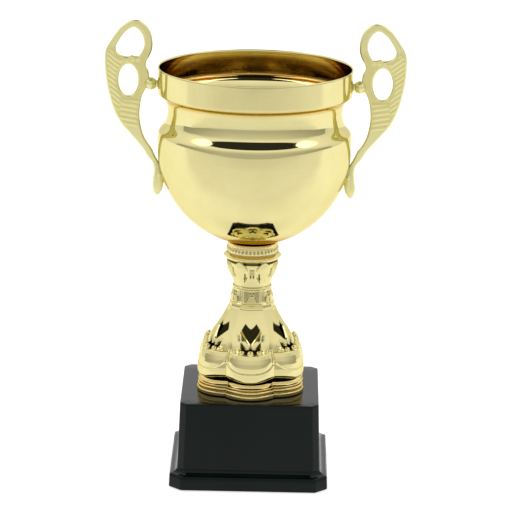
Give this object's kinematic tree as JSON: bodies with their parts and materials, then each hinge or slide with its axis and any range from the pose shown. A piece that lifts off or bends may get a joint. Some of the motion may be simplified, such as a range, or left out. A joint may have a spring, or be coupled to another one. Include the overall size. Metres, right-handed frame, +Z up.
{
  "type": "cup trophy",
  "caption": "Two-handled cup trophy: spun gold bowl on a lobed stem with a black moulded square base.",
  "frame": {"origin": "centre of the footprint, on the surface the felt rests on", "axes": "+Z up, +X through the two handles, -Y the front"},
  "size_m": [0.1504, 0.0976, 0.2325],
  "materials": {
    "base_plastic": "glossy black moulded polystyrene",
    "bowl_gold": "spun and polished, pale gold plated, mirror bright",
    "stem_gold": "cast, gold plated and bright, with darker recesses",
    "handle_gold": "cast, pale gold plated, slightly softer than the bowl",
    "zinc_steel": "zinc plated steel",
    "ballast_iron": "rough cast iron",
    "board": "hardboard",
    "felt": "black needled felt",
    "gasket_rubber": "matt black rubber"
  },
  "bodies": {
    "root": {"base_shell": "base_plastic", "ballast_weight": "ballast_iron", "bottom_board": "board", "board_screws": "zinc_steel", "felt_pad": "felt", "foot_ring": "stem_gold", "stem_foot": "stem_gold", "stem_neck": "stem_gold", "bowl_gasket": "gasket_rubber", "bowl": "bowl_gold", "handle_right": "handle_gold", "handle_left": "handle_gold", "handle_screws": "zinc_steel", "handle_washers": "zinc_steel", "centre_rod": "zinc_steel", "bowl_washer": "zinc_steel", "bowl_nut": "zinc_steel", "base_washer": "zinc_steel", "base_lock_washer": "zinc_steel", "base_nut": "zinc_steel"}
  },
  "joints": []
}
